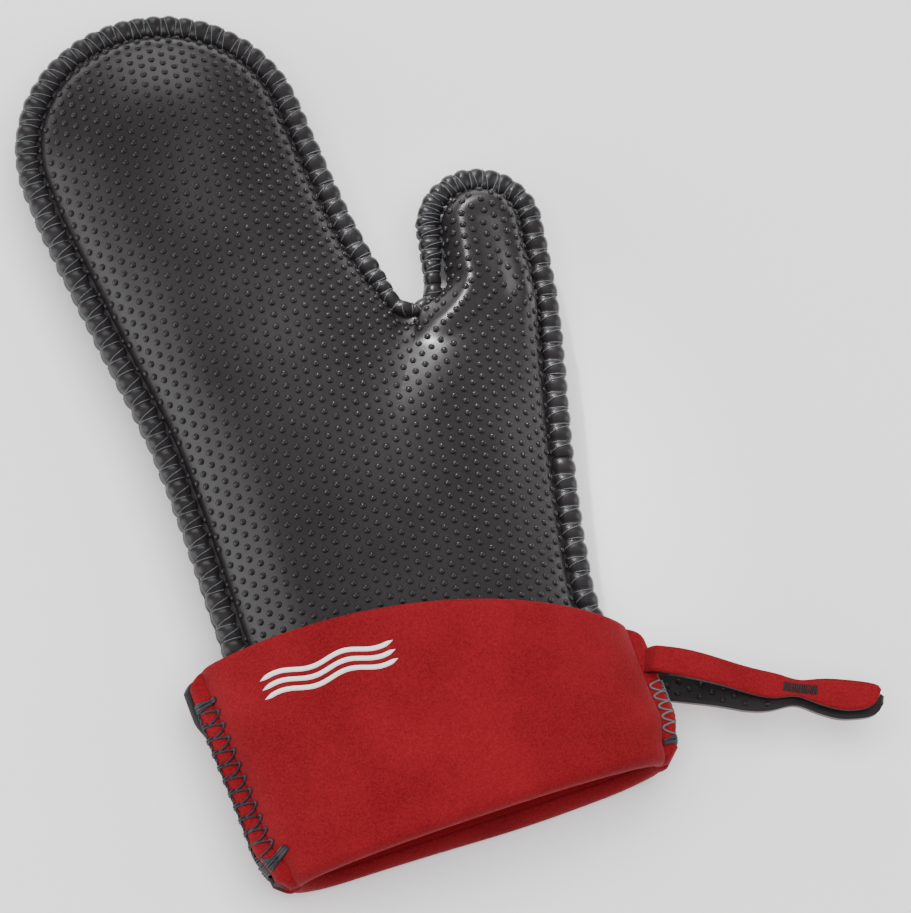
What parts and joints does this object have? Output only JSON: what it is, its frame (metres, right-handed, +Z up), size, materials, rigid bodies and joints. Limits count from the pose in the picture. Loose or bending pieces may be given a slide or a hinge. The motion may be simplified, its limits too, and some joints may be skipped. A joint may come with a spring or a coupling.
{
  "type": "oven mitt",
  "caption": "Oven mitt of pipped foam rubber with a knit lining, an overcast edge, a turned-back knit cuff and a strap loop to hang it by.",
  "frame": {"origin": "on the table, under the middle of the palm, where the flattened back rests", "axes": "+Z up through the palm, +Y towards the fingertips, +X towards the thumb and the hanging loop"},
  "size_m": [0.2407, 0.336, 0.0495],
  "materials": {
    "pipped_rubber": "satin",
    "lining_knit": "matte",
    "cuff_knit": "matte",
    "edge_thread": "satin",
    "tack_thread": "satin",
    "print_ink": "matte"
  },
  "bodies": {
    "hand": {"palm_rubber": "pipped_rubber", "palm_lining": "lining_knit", "back_rubber": "pipped_rubber", "back_lining": "lining_knit", "palm_cuff_rubber": "pipped_rubber", "palm_cuff_knit": "cuff_knit", "back_cuff_rubber": "pipped_rubber", "back_cuff_knit": "cuff_knit", "edge_thread_hand": "edge_thread", "edge_thread_side": "edge_thread", "crotch_tack": "edge_thread", "cuff_zigzag_left": "edge_thread", "cuff_zigzag_right": "edge_thread", "cuff_tacks": "edge_thread", "cuff_mark": "print_ink", "strap_root_rubber": "pipped_rubber", "strap_root_knit": "cuff_knit"},
    "fingers": {"finger_palm_rubber": "pipped_rubber", "finger_palm_lining": "lining_knit", "finger_back_rubber": "pipped_rubber", "finger_back_lining": "lining_knit", "finger_edge_thread": "edge_thread"},
    "thumb": {"thumb_palm_rubber": "pipped_rubber", "thumb_palm_lining": "lining_knit", "thumb_back_rubber": "pipped_rubber", "thumb_back_lining": "lining_knit", "thumb_edge_thread": "edge_thread"},
    "loop": {"strap_rubber": "pipped_rubber", "strap_knit": "cuff_knit", "strap_bar_tack": "tack_thread"}
  },
  "joints": [
    {"name": "finger_bend", "type": "hinge", "parent": "hand", "child": "fingers", "pos_m": [-0.001, 0.0855, 0.0453], "axis": [1, 0, 0], "range_deg": [0, 45], "stiffness_Nm_per_rad": 0.4},
    {"name": "thumb_bend", "type": "hinge", "parent": "hand", "child": "thumb", "pos_m": [0.09363, 0.046, 0.0413], "axis": [0.7909, -0.6119, 0], "range_deg": [0, 40], "stiffness_Nm_per_rad": 0.25},
    {"name": "loop_swing", "type": "hinge", "parent": "hand", "child": "loop", "pos_m": [0.103, -0.1035, 0.021], "axis": [-0.4384, -0.8988, 0], "range_deg": [-35, 35], "stiffness_Nm_per_rad": 0.03}
  ]
}
